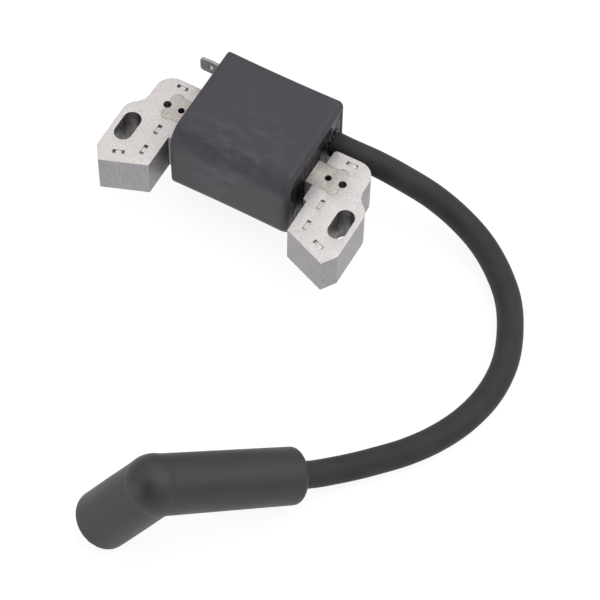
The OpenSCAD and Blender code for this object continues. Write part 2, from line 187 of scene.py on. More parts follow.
# electrical steel, stamped, with a baked satin coat: pale and finely speckled on the flats,
# bare and greyer with fine upright shear lines where the punch cut
def coatedSteel(name, s):
    material, tree = startMaterial(name)
    speckle = grain(tree, 0.3 * mm, detail=2)
    cloud = grain(tree, 5 * mm, detail=2)
    shear = grain(tree, 0.13 * mm, (1, 1, 22), detail=2)
    flat = tinted(tree, speckle, (0.36, 0.5), s["dark"], s["pale"])
    flat = tinted(tree, cloud, (0.35, 0.7), flat, s["warm"], 0.35)
    cut = tinted(tree, shear, (0.3, 0.7), s["cutDark"], s["cutPale"])
    side = sideShare(tree)
    colour = addNode(tree, "ShaderNodeMix", {"data_type": "RGBA"}, {0: side, 6: flat, 7: cut})
    metal = addNode(tree, "ShaderNodeMapRange",
                    {"To Min": s["metallic"], "To Max": s["cutMetallic"]}, {"Value": side})
    rough = addNode(tree, "ShaderNodeMapRange",
                    {"From Min": 0.3, "From Max": 0.7, "To Min": s["roughness"] - 0.05,
                     "To Max": s["roughness"] + 0.08}, {"Value": speckle})
    coarse = addNode(tree, "ShaderNodeBump", {"Strength": 0.9, "Distance": 0.014 * mm},
                     {"Height": speckle})
    sheared = addNode(tree, "ShaderNodeMath", {"operation": "MULTIPLY"}, {0: shear, 1: side})
    bump = addNode(tree, "ShaderNodeBump", {"Strength": 0.7, "Distance": 0.008 * mm},
                   {"Height": sheared, "Normal": coarse})
    addShader(tree, {}, {"Base Color": colour.outputs[2], "Metallic": metal, "Roughness": rough,
                         "Normal": bump})
    return material


# the walls of punched holes and slots, the keyed joint's edges and the sunk tongues: burnished and
# oily steel, in darker colours that are painted shade
def punchedShadeSteel(name, s):
    material, tree = startMaterial(name)
    shear = grain(tree, 0.3 * mm, (1, 1, 9), detail=3)
    oil = grain(tree, 2.2 * mm, detail=3)
    cut = tinted(tree, shear, (0.35, 0.7), s["dark"], s["pale"])
    rough = addNode(tree, "ShaderNodeMapRange",
                    {"From Min": 0.3, "From Max": 0.7, "To Min": s["roughness"] - 0.06,
                     "To Max": s["roughness"] + 0.1}, {"Value": oil})
    bump = addNode(tree, "ShaderNodeBump", {"Strength": 0.7, "Distance": 0.02 * mm},
                   {"Height": shear})
    addShader(tree, {"Metallic": 0.9}, {
        "Base Color": tinted(tree, oil, (0.4, 0.65), cut, s["oil"], 0.6), "Roughness": rough,
        "Normal": bump})
    return material


# glass-filled nylon, moulded: charcoal with a faint blue cast and a soft sheen, with lighter
# wisps round one place on the front shoulder: rubbed fibre marks, and a painted highlight there
def mouldedNylon(name, s):
    material, tree = startMaterial(name)
    fibre = grain(tree, 0.3 * mm, detail=3)
    cloud = grain(tree, 11 * mm, detail=2, offset=(0.2, 0.6, 0.1))
    wisp = grain(tree, 2.2 * mm, (2.4, 1, 1), detail=7, rough=0.68, offset=(0.4, 0.1, 0.7))
    near = nearShare(tree, s["wispHighlightMiddle"], 0.3 * s["wispHighlightReach"], s["wispHighlightReach"])
    body = tinted(tree, fibre, (0.3, 0.7), s["dark"], s["base"])
    body = tinted(tree, cloud, (0.35, 0.7), body, s["rubbedAndHighlight"], 0.25)
    # lighter wisps near the front shoulder: rubbed fibre marks and a painted highlight
    thread = addNode(tree, "ShaderNodeMapRange",
                     {"From Min": 0.47, "From Max": 0.62, "To Max": s["wispsAndHighlight"]}, {"Value": wisp})
    wispHighlight = addNode(tree, "ShaderNodeMath", {"operation": "MULTIPLY"}, {0: thread, 1: near})
    colour = addNode(tree, "ShaderNodeMix", {"data_type": "RGBA", 7: linear(s["rubbedAndHighlight"])},
                     {0: wispHighlight, 6: body})
    rough = addNode(tree, "ShaderNodeMapRange",
                    {"From Min": 0.35, "From Max": 0.7, "To Min": s["roughness"] - 0.04,
                     "To Max": s["roughness"] + 0.05}, {"Value": cloud})
    fine = addNode(tree, "ShaderNodeBump", {"Strength": 0.6, "Distance": 0.015 * mm},
                   {"Height": fibre})
    scuff = addNode(tree, "ShaderNodeMath", {"operation": "MULTIPLY"}, {0: wisp, 1: near})
    bump = addNode(tree, "ShaderNodeBump", {"Strength": 0.7, "Distance": 0.05 * mm},
                   {"Height": scuff, "Normal": fine})
    addShader(tree, {"IOR": 1.5, "Specular IOR Level": s["gloss"]}, {
        "Base Color": colour.outputs[2], "Roughness": rough, "Normal": bump})
    return material


# poured epoxy, cured: near black, pitted, and wrinkled glossy where the top of the pour shrank,
# with the wrinkles' crests painted lighter as highlight
def potting(name, s):
    material, tree = startMaterial(name)
    pits = grain(tree, 0.5 * mm, detail=4)
    folds = grain(tree, 0.55 * mm, (1, 1, 5), detail=4, rough=0.6)
    near = nearShare(tree, s["wrinkleMiddle"], 0.5 * s["wrinkleReach"], s["wrinkleReach"])
    fold = addNode(tree, "ShaderNodeMapRange", {"From Min": 0.5, "From Max": 0.62},
                   {"Value": folds})
    crestAndHighlight = addNode(tree, "ShaderNodeMath", {"operation": "MULTIPLY"}, {0: fold, 1: near})
    # the wrinkles' crests are painted lighter: a painted highlight
    colour = addNode(tree, "ShaderNodeMix",
                     {"data_type": "RGBA", 6: linear(s["base"]), 7: linear(s["crestAndHighlight"])},
                     {0: crestAndHighlight})
    dull = addNode(tree, "ShaderNodeMapRange",
                   {"From Min": 0.3, "From Max": 0.75, "To Min": s["roughness"],
                    "To Max": s["roughness"] + 0.2}, {"Value": pits})
    shiny = addNode(tree, "ShaderNodeMath", {"operation": "MULTIPLY", 1: s["shine"]}, {0: near})
    rough = addNode(tree, "ShaderNodeMath", {"operation": "SUBTRACT"}, {0: dull, 1: shiny})
    below = addNode(tree, "ShaderNodeBump", {"Strength": 0.5, "Distance": 0.03 * mm},
                    {"Height": pits})
    bump = addNode(tree, "ShaderNodeBump", {"Strength": 0.9, "Distance": 0.15 * mm},
                   {"Height": crestAndHighlight, "Normal": below})
    addShader(tree, {"IOR": 1.5, "Specular IOR Level": s["gloss"]}, {
        "Base Color": colour.outputs[2], "Roughness": rough, "Normal": bump})
    return material


# rubber, moulded or extruded: matt, dark, with a fine grain and a little bloom
def rubber(name, s):
    material, tree = startMaterial(name)
    fine = grain(tree, 0.18 * mm, detail=2)
    bloom = grain(tree, 7 * mm, detail=3)
    rough = addNode(tree, "ShaderNodeMapRange",
                    {"From Min": 0.3, "From Max": 0.7, "To Min": s["roughness"] - 0.05,
                     "To Max": s["roughness"] + 0.06}, {"Value": bloom})
    bump = addNode(tree, "ShaderNodeBump", {"Strength": 0.6, "Distance": 0.012 * mm},
                   {"Height": fine})
    addShader(tree, {"IOR": 1.5, "Specular IOR Level": s["gloss"]}, {
        "Base Color": tinted(tree, bloom, (0.35, 0.7), s["base"], s["bloom"]),
        "Roughness": rough, "Normal": bump})
    return material


# drawn, rolled or plated metal: fine lines along its length
def rolledMetal(name, s):
    material, tree = startMaterial(name)
    lines = grain(tree, 0.12 * mm, s["stretch"], detail=3)
    stain = grain(tree, 1.6 * mm, detail=3)
    rough = addNode(tree, "ShaderNodeMapRange",
                    {"From Min": 0.3, "From Max": 0.7, "To Min": s["roughness"] - 0.08,
                     "To Max": s["roughness"] + 0.1}, {"Value": lines})
    bump = addNode(tree, "ShaderNodeBump", {"Strength": 0.5, "Distance": 0.008 * mm},
                   {"Height": lines})
    addShader(tree, {"Metallic": 1}, {
        "Base Color": tinted(tree, stain, (0.4, 0.7), s["base"], s["stain"]),
        "Roughness": rough, "Normal": bump})
    return material


# enamelled wire wound round the bar: a ridge for each turn along X
def woundWire(name, s):
    material, tree = startMaterial(name)
    where = addNode(tree, "ShaderNodeTexCoord")
    turns = addNode(tree, "ShaderNodeTexWave",
                    {"Scale": 1 / (20 * s["wire"]), "bands_direction": "X", "Distortion": 0.4,
                     "Detail": 1},
                    {"Vector": where.outputs["Object"]})
    tone = grain(tree, 1.2 * mm, (0.3, 1, 1))
    rough = addNode(tree, "ShaderNodeMapRange",
                    {"From Min": 0.3, "From Max": 0.7, "To Min": s["roughness"] - 0.05,
                     "To Max": s["roughness"] + 0.1}, {"Value": tone})
    bump = addNode(tree, "ShaderNodeBump", {"Strength": 0.8, "Distance": 0.4 * s["wire"]},
                   {"Height": turns.outputs["Fac"]})
    addShader(tree, {"Metallic": 0.9, "Coat Weight": 0.5}, {
        "Base Color": tinted(tree, tone, (0.35, 0.7), s["base"], s["bright"]),
        "Roughness": rough, "Normal": bump})
    return material


# moulded or coated small pieces: an even body with a fine grain
def mouldedBody(name, s):
    material, tree = startMaterial(name)
    fine = grain(tree, s["grain"], detail=3)
    rough = addNode(tree, "ShaderNodeMapRange",
                    {"From Min": 0.3, "From Max": 0.7, "To Min": s["roughness"] - 0.05,
                     "To Max": s["roughness"] + 0.1}, {"Value": fine})
    bump = addNode(tree, "ShaderNodeBump", {"Strength": 0.5, "Distance": 0.02 * mm},
                   {"Height": fine})
    addShader(tree, {"IOR": 1.5}, {
        "Base Color": tinted(tree, fine, (0.35, 0.7), s["base"], s["fleck"]),
        "Roughness": rough, "Normal": bump})
    return material


materials = {
    "coreSteel": coatedSteel("satinCoatedCoreSteel", {
        "pale": "#cfcac9", "dark": "#b3adab", "warm": "#c9c1bf", "cutPale": "#aca9ac",
        "cutDark": "#8b898d", "roughness": 0.44, "metallic": 0.35, "cutMetallic": 0.85}),
    "barSteel": coatedSteel("satinCoatedBarSteel", {
        "pale": "#bfb9b3", "dark": "#958f89", "warm": "#b3a99f", "cutPale": "#a5a3a5",
        "cutDark": "#858386", "roughness": 0.45, "metallic": 0.35, "cutMetallic": 0.85}),
    # the walls of holes and slots, darker as painted shade
    "punchedShadeSteel": punchedShadeSteel("boreSteelPaintedShade", {
        "pale": "#7d7b7b", "dark": "#565454", "oil": "#4a4441", "roughness": 0.38}),
    # the keyed joint's edges, near black as painted shade
    "jointShadeSteel": punchedShadeSteel("jointEdgePaintedShade", {
        "pale": "#363434", "dark": "#201e1e", "oil": "#2b2624", "roughness": 0.6}),
    # the sunk tongues' deeper faces, darker as painted shade in the recess
    "lancedShadeSteel": punchedShadeSteel("tonguePaintedShade", {
        "pale": "#8f8b88", "dark": "#5e5a58", "oil": "#6a6461", "roughness": 0.5}),
    "caseNylon": mouldedNylon("glassFilledNylonMoulded", {
        # the lighter colour also lights the wisps on the front shoulder, a painted highlight
        "base": "#35343a", "dark": "#302f34", "rubbedAndHighlight": "#47464e", "wispsAndHighlight": 0.75,
        "wispHighlightMiddle": (0, -9 * mm, 27 * mm), "wispHighlightReach": 21 * mm,
        "roughness": 0.5, "gloss": 0.4}),
    "resin": potting("epoxyPoured", {
        # the crest colour is the painted highlight on the wrinkles' crests
        "base": "#101012", "crestAndHighlight": "#646468", "roughness": 0.36, "gloss": 0.2, "shine": 0.2,
        "wrinkleMiddle": (17 * mm, 17 * mm, 27 * mm), "wrinkleReach": 9 * mm}),
    "leadRubber": rubber("leadRubberExtruded", {
        "base": "#2a292d", "bloom": "#343337", "roughness": 0.6, "gloss": 0.25}),
    "bootRubber": rubber("bootRubberMoulded", {
        "base": "#1d1c21", "bloom": "#252429", "roughness": 0.52, "gloss": 0.6}),
    "tinPlate": rolledMetal("steelTinPlated", {
        "base": "#a3a3a0", "stain": "#8a8a88", "roughness": 0.42, "stretch": (12, 1, 1)}),
    "brass": rolledMetal("brassRolled", {
        "base": "#b9a05c", "stain": "#a08848", "roughness": 0.35, "stretch": (1, 8, 1)}),
    "springWire": rolledMetal("springSteelDrawn", {
        "base": "#8b8b8d", "stain": "#757577", "roughness": 0.3, "stretch": (1, 1, 1)}),
    "copper": woundWire("copperWireEnamelled", {
        "base": "#a8613a", "bright": "#c27848", "wire": 0.5 * mm, "roughness": 0.3}),
    "fineCopper": woundWire("fineCopperWireEnamelled", {
        "base": "#9a5332", "bright": "#b56a40", "wire": 0.12 * mm, "roughness": 0.3}),
    "bobbin": mouldedBody("naturalNylonMoulded", {
        "base": "#d9d4c4", "fleck": "#cfc8b4", "grain": 0.6 * mm, "roughness": 0.45}),
    "wrap": mouldedBody("polyesterFilmWound", {
        "base": "#c9a24c", "fleck": "#b98f3c", "grain": 2 * mm, "roughness": 0.2}),
    "board": mouldedBody("glassEpoxyLaminated", {
        "base": "#2f5a38", "fleck": "#27502f", "grain": 0.4 * mm, "roughness": 0.4}),
    "component": mouldedBody("epoxyMoulded", {
        "base": "#232325", "fleck": "#2d2d30", "grain": 0.15 * mm, "roughness": 0.5}),
    "resistor": mouldedBody("ceramicDipped", {
        "base": "#c3a578", "fleck": "#b59468", "grain": 0.3 * mm, "roughness": 0.35}),
    "capacitor": mouldedBody("epoxyDipped", {
        "base": "#c46a1e", "fleck": "#b75f18", "grain": 0.8 * mm, "roughness": 0.25}),
}
print("materials made")

nodeMaterials = {
    "potting_resin": "resin", "primary_bobbin": "bobbin", "primary_winding": "copper",
    "winding_wrap": "wrap", "secondary_bobbin": "bobbin", "secondary_winding": "fineCopper",
    "primary_wires": "copper", "circuit_board": "board", "power_transistor": "component",
    "driver_transistor": "component", "board_resistors": "resistor", "clamp_diode": "component",
    "board_capacitor": "capacitor", "trigger_bobbin": "bobbin", "trigger_winding": "fineCopper",
    "stop_terminal": "tinPlate", "ground_strap": "brass", "high_tension_pin": "brass",
    "secondary_wire": "fineCopper", "lead_coil_end": "leadRubber",
    "lead_boot_end": "leadRubber", "lead_strand": "copper", "plug_clip": "tinPlate",
    "clip_spring": "springWire",
}


# rings and round bodies, which the lead, the case and the boot share

def circle(middle, side, over, radius, count):
    if radius < 0.001 * mm:
        return [middle]
    turns = [2 * math.pi * k / count for k in range(count)]
    return [middle + radius * (math.cos(a) * side + math.sin(a) * over) for a in turns]


def loft(sections):
    # closed rings of points joined in order, with a face over each end, where a single point
    # is a pole
    bm = bmesh.new()
    rings = [[bm.verts.new(p) for p in section] for section in sections]
    for first, second in zip(rings, rings[1:]):
        for k in range(max(len(first), len(second))):
            here, there = k % len(first), k % len(second)
            corners = (first[here], first[here - 1], second[there - 1], second[there])
            bm.faces.new(list(dict.fromkeys(corners)))
    if len(rings[0]) > 1:
        bm.faces.new(rings[0])
    if len(rings[-1]) > 1:
        bm.faces.new(rings[-1][::-1])
    bmesh.ops.recalc_face_normals(bm, faces=bm.faces)
    return bm


def turned(profile, origin, axis, around):
    # a profile of (distance along, radius) turned about an axis
    side = axis.orthogonal().normalized()
    over = axis.cross(side)
    return loft([circle(origin + axis * along, side, over, radius, around)
                 for along, radius in profile])


# the lead

def splinePoints(points, steps):
    # a Catmull-Rom curve through the points
    p = [2 * points[0] - points[1]] + points + [2 * points[-1] - points[-2]]
    found = []
    for i in range(1, len(p) - 2):
        for k in range(steps):
            t = k / steps
            found.append(0.5 * (2 * p[i] + (p[i + 1] - p[i - 1]) * t
                                + (2 * p[i - 1] - 5 * p[i] + 4 * p[i + 1] - p[i + 2]) * t ** 2
                                + (3 * p[i] - p[i - 1] - 3 * p[i + 1] + p[i + 2]) * t ** 3))
    return found + [points[-1]]


def makeLead(s, endAxis):
    path = splinePoints([Vector(p) * mm for p in s["route"]], s["stepsPerSpan"])
    tangents = [(path[min(i + 1, len(path) - 1)] - path[max(i - 1, 0)]).normalized()
                for i in range(len(path))]
    tangents[0] = Vector((1, 0, 0))
    tangents[-1] = -endAxis
    side = Vector((0, 0, 1)).cross(tangents[0]).normalized()
    sections = []
    for place, along in zip(path, tangents):
        side = (side - along * side.dot(along)).normalized()
        sections.append(circle(place, side, along.cross(side), s["diameter"] / 2, s["sides"]))
    lead = fromBmesh("highTensionLead", loft(sections), materials["leadRubber"], 50)
    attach(lead, "coil")
    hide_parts("ht_lead")
    return lead, path


# the core: stamped plates, stacked by Geometry Nodes from each CAD node's own outline

coreSetup = {
    "plates": 24,
    "gap": 0.02 * mm,
    "shift": 0.02 * mm,       # how far a plate may lie out of line
    "edge": 0.035 * mm,       # rolled edge that the punch leaves
    "topEdge": 0.12 * mm,
    "jointDepth": 0.18 * mm,  # how far down the edges of the keyed joint are painted dark, as shade in the joint
    "jointReach": 0.3 * mm,
    "holeReach": 0.05 * mm,
    "markDepth": 0.5 * mm,    # the lanced marks' recess in the CAD legs
    "tongueLength": 3 * mm,
    "tongueWidth": 1 * mm,
    "tongueRoom": 0.03 * mm,  # left under a tongue's ends
    "tongueSkin": 0.02 * mm,
}

# inward is the way that plates drift along X, dip is how far a tongue's middle lies down, and
# a tongue's faces that lie deeper than bright get a darker steel, painted shade in the recess
coreStacks = {
    "leftCoreStack": {"node": "left_core_leg", "steel": "coreSteel", "slot": "core_steel",
                      "seed": 3, "inward": 1, "dip": 0.08 * mm, "bright": 0.17 * mm},
    "rightCoreStack": {"node": "right_core_leg", "steel": "coreSteel", "slot": "core_steel",
                       "seed": 8, "inward": -1, "dip": 0.03 * mm, "bright": 0.3 * mm},
    "coreBarStack": {"node": "core_bar", "steel": "barSteel", "slot": "bar_steel",
                     "seed": 21, "inward": 0},
}
coreShadeSteels = ["punchedShadeSteel", "lancedShadeSteel", "jointShadeSteel"]    # from the second slot on


def mergedCopy(name):
    bm = bmesh.new()
    bm.from_mesh(nodes[name].data)
    bmesh.ops.remove_doubles(bm, verts=bm.verts, dist=0.001 * mm)
    return bm


def outlineMesh(name, height):
    # the CAD node's outline at a height, as loose edges on the ground plane
    bm = mergedCopy(name)
    bmesh.ops.bisect_plane(bm, geom=bm.verts[:] + bm.edges[:] + bm.faces[:], dist=0.0001 * mm,
                           plane_co=(0, 0, height), plane_no=(0, 0, 1),
                           clear_inner=True, clear_outer=True)
    for vert in bm.verts:
        vert.co.z = 0
    bmesh.ops.remove_doubles(bm, verts=bm.verts, dist=0.001 * mm)
    straight = []
    for vert in bm.verts:
        if len(vert.link_edges) == 2:
            a, b = [e.other_vert(vert).co - vert.co for e in vert.link_edges]
            if a.angle(b) > math.radians(179.6):
                straight.append(vert)
    bmesh.ops.dissolve_verts(bm, verts=straight)
    mesh = bpy.data.meshes.new(name + "Outline")
    bm.to_mesh(mesh)
    bm.free()
    return mesh


def newTree(name, sockets):
    tree = bpy.data.node_groups.new(name, "GeometryNodeTree")
    for label, kind in sockets:
        tree.interface.new_socket(name=label, in_out="INPUT", socket_type="NodeSocket" + kind)
    tree.interface.new_socket(name="Geometry", in_out="OUTPUT", socket_type="NodeSocketGeometry")
    inlet = addNode(tree, "NodeGroupInput").outputs
    outlet = addNode(tree, "NodeGroupOutput")
    return tree, inlet, outlet


def plateStackTree():
    tree, inlet, outlet = newTree("plateStack", [
        ("Outline", "Geometry"), ("Plates", "Int"), ("Pitch", "Float"), ("Thickness", "Float"),
        ("Foot", "Float"), ("Shift", "Vector"), ("Seed", "Int"), ("Material", "Material")])
    curve = addNode(tree, "GeometryNodeMeshToCurve", {}, {"Mesh": inlet["Outline"]})
    sheet = addNode(tree, "GeometryNodeFillCurve", {}, {"Curve": curve})
    lift = addNode(tree, "ShaderNodeCombineXYZ", {}, {"Z": inlet["Thickness"]})
    thick = addNode(tree, "GeometryNodeExtrudeMesh", {"Individual": False},
                    {"Mesh": sheet, "Offset": lift})
    under = addNode(tree, "GeometryNodeFlipFaces", {}, {"Mesh": sheet})
    plate = addNode(tree, "GeometryNodeJoinGeometry")
    tree.links.new(thick.outputs[0], plate.inputs[0])
    tree.links.new(under.outputs[0], plate.inputs[0])
    closed = addNode(tree, "GeometryNodeMergeByDistance", {"Distance": 0.001 * mm},
                     {"Geometry": plate})
    start = addNode(tree, "ShaderNodeCombineXYZ", {}, {"Z": inlet["Foot"]})
    step = addNode(tree, "ShaderNodeCombineXYZ", {}, {"Z": inlet["Pitch"]})
    places = addNode(tree, "GeometryNodeMeshLine", {},
                     {"Count": inlet["Plates"], "Start Location": start, "Offset": step})
    drift = addNode(tree, "FunctionNodeRandomValue", {"data_type": "FLOAT_VECTOR"},
                    {"Max": inlet["Shift"], "Seed": inlet["Seed"]})
    moved = addNode(tree, "GeometryNodeSetPosition", {}, {"Geometry": places, "Offset": drift})
    stack = addNode(tree, "GeometryNodeInstanceOnPoints", {},
                    {"Points": moved, "Instance": closed})
    real = addNode(tree, "GeometryNodeRealizeInstances", {}, {"Geometry": stack})
    done = addNode(tree, "GeometryNodeSetMaterial", {},
                   {"Geometry": real, "Material": inlet["Material"]})
    tree.links.new(done.outputs[0], outlet.inputs[0])
    return tree


def markTree():
    # a tongue for each lanced mark: bowed up in the middle, sheared down at its ends
    tree, inlet, outlet = newTree("lancedTongues", [
        ("Places", "Geometry"), ("Length", "Float"), ("Width", "Float"), ("Dip", "Float"),
        ("Bow", "Float"), ("Thickness", "Float"), ("Material", "Material")])
    strip = addNode(tree, "GeometryNodeMeshGrid", {"Vertices X": 13, "Vertices Y": 3},
                    {"Size X": inlet["Length"], "Size Y": inlet["Width"]})
    place = addNode(tree, "ShaderNodeSeparateXYZ", {},
                    {0: addNode(tree, "GeometryNodeInputPosition").outputs[0]})
    share = addNode(tree, "ShaderNodeMath", {"operation": "DIVIDE"},
                    {0: place, 1: inlet["Length"]})
    square = addNode(tree, "ShaderNodeMath", {"operation": "MULTIPLY"}, {0: share, 1: share})
    drop = addNode(tree, "ShaderNodeMath", {"operation": "MULTIPLY", 1: -4}, {0: square})
    bowed = addNode(tree, "ShaderNodeMath", {"operation": "MULTIPLY"}, {0: drop, 1: inlet["Bow"]})
    level = addNode(tree, "ShaderNodeMath", {"operation": "SUBTRACT"}, {0: bowed, 1: inlet["Dip"]})
    offset = addNode(tree, "ShaderNodeCombineXYZ", {}, {"Z": level})
    bent = addNode(tree, "GeometryNodeSetPosition", {}, {"Geometry": strip, "Offset": offset})
    down = addNode(tree, "ShaderNodeMath", {"operation": "MULTIPLY", 1: -1},
                   {0: inlet["Thickness"]})
    fall = addNode(tree, "ShaderNodeCombineXYZ", {}, {"Z": down})
    thick = addNode(tree, "GeometryNodeExtrudeMesh", {"Individual": False},
                    {"Mesh": bent, "Offset": fall})
    tongue = addNode(tree, "GeometryNodeJoinGeometry")
    tree.links.new(thick.outputs[0], tongue.inputs[0])
    tree.links.new(bent.outputs[0], tongue.inputs[0])
    closed = addNode(tree, "GeometryNodeMergeByDistance", {"Distance": 0.001 * mm},
                     {"Geometry": tongue})
    turn = addNode(tree, "GeometryNodeInputNamedAttribute", {"data_type": "FLOAT", "Name": "turn"})
    spin = addNode(tree, "ShaderNodeCombineXYZ", {}, {"Z": turn.outputs["Attribute"]})
    spun = addNode(tree, "GeometryNodeInstanceOnPoints", {},
                   {"Points": inlet["Places"], "Instance": closed,
                    "Rotation": spin})
    real = addNode(tree, "GeometryNodeRealizeInstances", {}, {"Geometry": spun})
    done = addNode(tree, "GeometryNodeSetMaterial", {},
                   {"Geometry": real, "Material": inlet["Material"]})
    tree.links.new(done.outputs[0], outlet.inputs[0])
    return tree


def runTree(name, tree, mesh, inputs):
    # the tree's result on a mesh, as a bmesh with its shells turned outwards
    obj = linkObject(name, mesh)
    modifier = obj.modifiers.new(name, "NODES")
    modifier.node_group = tree
    keys = {item.name: item.identifier for item in tree.interface.items_tree
            if item.in_out == "INPUT"}
    for label, value in inputs.items():
        modifier[keys[label]] = value
    shown = obj.evaluated_get(bpy.context.evaluated_depsgraph_get())
    plain = bpy.data.meshes.new_from_object(shown)
    bm = bmesh.new()
    bm.from_mesh(plain)
    bmesh.ops.recalc_face_normals(bm, faces=bm.faces)
    bpy.data.objects.remove(obj)
    bpy.data.meshes.remove(plain)
    return bm


def bevelled(bm, width):
    # rounds the level edges of a plate
    sharp = [e for e in bm.edges if len(e.link_faces) == 2
             and e.calc_face_angle(0) > math.radians(50)
             and abs(e.verts[0].co.z - e.verts[1].co.z) < 0.001 * mm]
    bmesh.ops.bevel(bm, geom=sharp, offset=width, offset_type="OFFSET", segments=2,
                    profile=0.5, affect="EDGES", clamp_overlap=True)
    return bm


def joined(parts):
    whole = bmesh.new()
    for bm in parts:
        mesh = bpy.data.meshes.new("part")
        bm.to_mesh(mesh)
        bm.free()
        whole.from_mesh(mesh)
        bpy.data.meshes.remove(mesh)
    return whole


def markPlaces(name, top, depth):
    # the middle and turn of each recess floor in a CAD leg's top face
    bm = mergedCopy(name)
    floors = [f for f in bm.faces if f.normal.z > 0.9
              and abs(f.calc_center_median().z - (top - depth)) < 0.01 * mm]
    places = []
    while floors:
        patch, edge = [], [floors[0]]
        while edge:
            face = edge.pop()
            if face in floors:
                floors.remove(face)
                patch.append(face)
                edge += [f for e in face.edges for f in e.link_faces]
        corners = {v for f in patch for v in f.verts}
        middle = sum((v.co for v in corners), Vector()) / len(corners)
        sides = [(e.verts[1].co - e.verts[0].co) for f in patch for e in f.edges
                 if len([x for x in e.link_faces if x in patch]) == 1]
        longest = max(sides, key=lambda side: side.length)
        places.append((Vector((middle.x, middle.y, top)), math.atan2(longest.y, longest.x)))
    bm.free()
    return places


def holeLoops(mesh):
    # the box round each closed loop of an outline, all but the outermost: low and high x, y
    bm = bmesh.new()
    bm.from_mesh(mesh)
    left, found = set(bm.verts), []
    while left:
        edge, loopVerts = [left.pop()], []
        while edge:
            vert = edge.pop()
            loopVerts.append(vert.co.copy())
            for other in (e.other_vert(vert) for e in vert.link_edges):
                if other in left:
                    left.remove(other)
                    edge.append(other)
        xs, ys = [p.x for p in loopVerts], [p.y for p in loopVerts]
        found.append((min(xs), max(xs), min(ys), max(ys)))
    bm.free()
    found.sort(key=lambda b: b[1] - b[0] + b[3] - b[2])
    return found[:-1]


def shadeSlot(name):
    return 1 + coreShadeSteels.index(name)


def paintHoleShade(mesh, holes, reach):
    # the upright faces round each hole get the darker steel: painted shade in the holes
    for face in mesh.polygons:
        x, y = face.center.x, face.center.y
        if abs(face.normal.z) < 0.9 and any(
                b[0] - reach < x < b[1] + reach and b[2] - reach < y < b[3] + reach
                for b in holes):
            face.material_index = shadeSlot("punchedShadeSteel")


def paintJointShade(mesh, above, reach):
    # the edges where the bar's heads are keyed into the legs get a near-black steel: painted shade
    # in the joint
    low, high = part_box("core_bar")
    for face in mesh.polygons:
        x, y, z = face.center
        if (z > above and abs(face.normal.z) < 0.98 and low.x - reach < x < high.x + reach
                and low.y - reach < y < high.y + reach):
            face.material_index = shadeSlot("jointShadeSteel")


def makeTongues(pieceName, s, own, tree, marks):
    points = bpy.data.meshes.new(own["node"] + "Marks")
    points.from_pydata([place for place, turn in marks], [], [])
    turns = points.attributes.new("turn", "FLOAT", "POINT")
    turns.data.foreach_set("value", [turn for place, turn in marks])
    return runTree(pieceName, tree, points, {
        "Length": s["tongueLength"], "Width": s["tongueWidth"], "Dip": own["dip"],
        "Bow": s["markDepth"] - own["dip"] - s["tongueRoom"], "Thickness": s["tongueSkin"],
        "Material": materials[own["steel"]]})


def makeCoreStack(pieceName, s, own, trees):
    name, steel = own["node"], materials[own["steel"]]
    low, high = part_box(name)
    pitch = (high.z - low.z) / s["plates"]
    thickness = pitch - s["gap"]
    middle = outlineMesh(name, (low.z + high.z) / 2)
    holes = holeLoops(middle)
    ends = outlineMesh(name, high.z - s["markDepth"] / 2)
    shared = {"Pitch": pitch, "Thickness": thickness, "Seed": own["seed"], "Material": steel}
    inner = runTree(pieceName, trees["plates"], middle, {
        **shared, "Plates": s["plates"] - 2, "Foot": low.z + pitch,
        "Shift": (own["inward"] * s["shift"], s["shift"], 0)})
    bottom = runTree(pieceName, trees["plates"], ends.copy(), {
        **shared, "Plates": 1, "Foot": low.z, "Shift": (0, 0, 0)})
    top = runTree(pieceName, trees["plates"], ends, {
        **shared, "Plates": 1, "Foot": high.z - thickness, "Shift": (0, 0, 0)})
    parts = [bevelled(inner, s["edge"]), bevelled(bottom, s["edge"]),
             bevelled(top, s["topEdge"])]
    plateFaces = sum(len(bm.faces) for bm in parts)
    marks = markPlaces(name, high.z, s["markDepth"])
    if marks:
        parts.append(makeTongues(pieceName, s, own, trees["marks"], marks))
    piece = fromBmesh(pieceName, joined(parts), steel, 30)
    for shadeSteel in coreShadeSteels:
        piece.data.materials.append(materials[shadeSteel])
    for face in piece.data.polygons:
        face.material_index = 0
    paintHoleShade(piece.data, holes, s["holeReach"])
    paintJointShade(piece.data, high.z - s["jointDepth"], s["jointReach"])
    # tongue faces deeper than bright get the darker steel: painted shade in the recess
    for face in piece.data.polygons[plateFaces:]:
        if face.center.z < high.z - own["bright"]:
            face.material_index = shadeSlot("lancedShadeSteel")
    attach(piece, "coil")
    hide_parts(name)


# the case: a loaf-shaped shell, open at the end that the lead leaves from

caseSetup = {
    "wall": 1.4 * mm,
    "shoulder": 5.5 * mm,     # radius of the top front edge
    "backEdge": 1.5 * mm,
    "footEdge": 1.6 * mm,
    "slopeTurn": 34,          # degrees that the front foot slopes in
    "slopeTop": 10.7 * mm,
    "slopeEdge": 4 * mm,
    "endEdge": 0.7 * mm,
    "lipOuter": 1.9 * mm,
    "lipInner": 0.35 * mm,
    "lipDepth": 1 * mm,
    "lipStep": 0.4 * mm,
    "sink": 0.12 / 14,        # the walls' dip at mid length, as a share of the way to the middle
    "cornerSteps": 10,
    "flatSteps": 8,
    "lengthSteps": 26,
    "bladeSlit": 0.05 * mm,
    "barGap": 0.1 * mm,
}


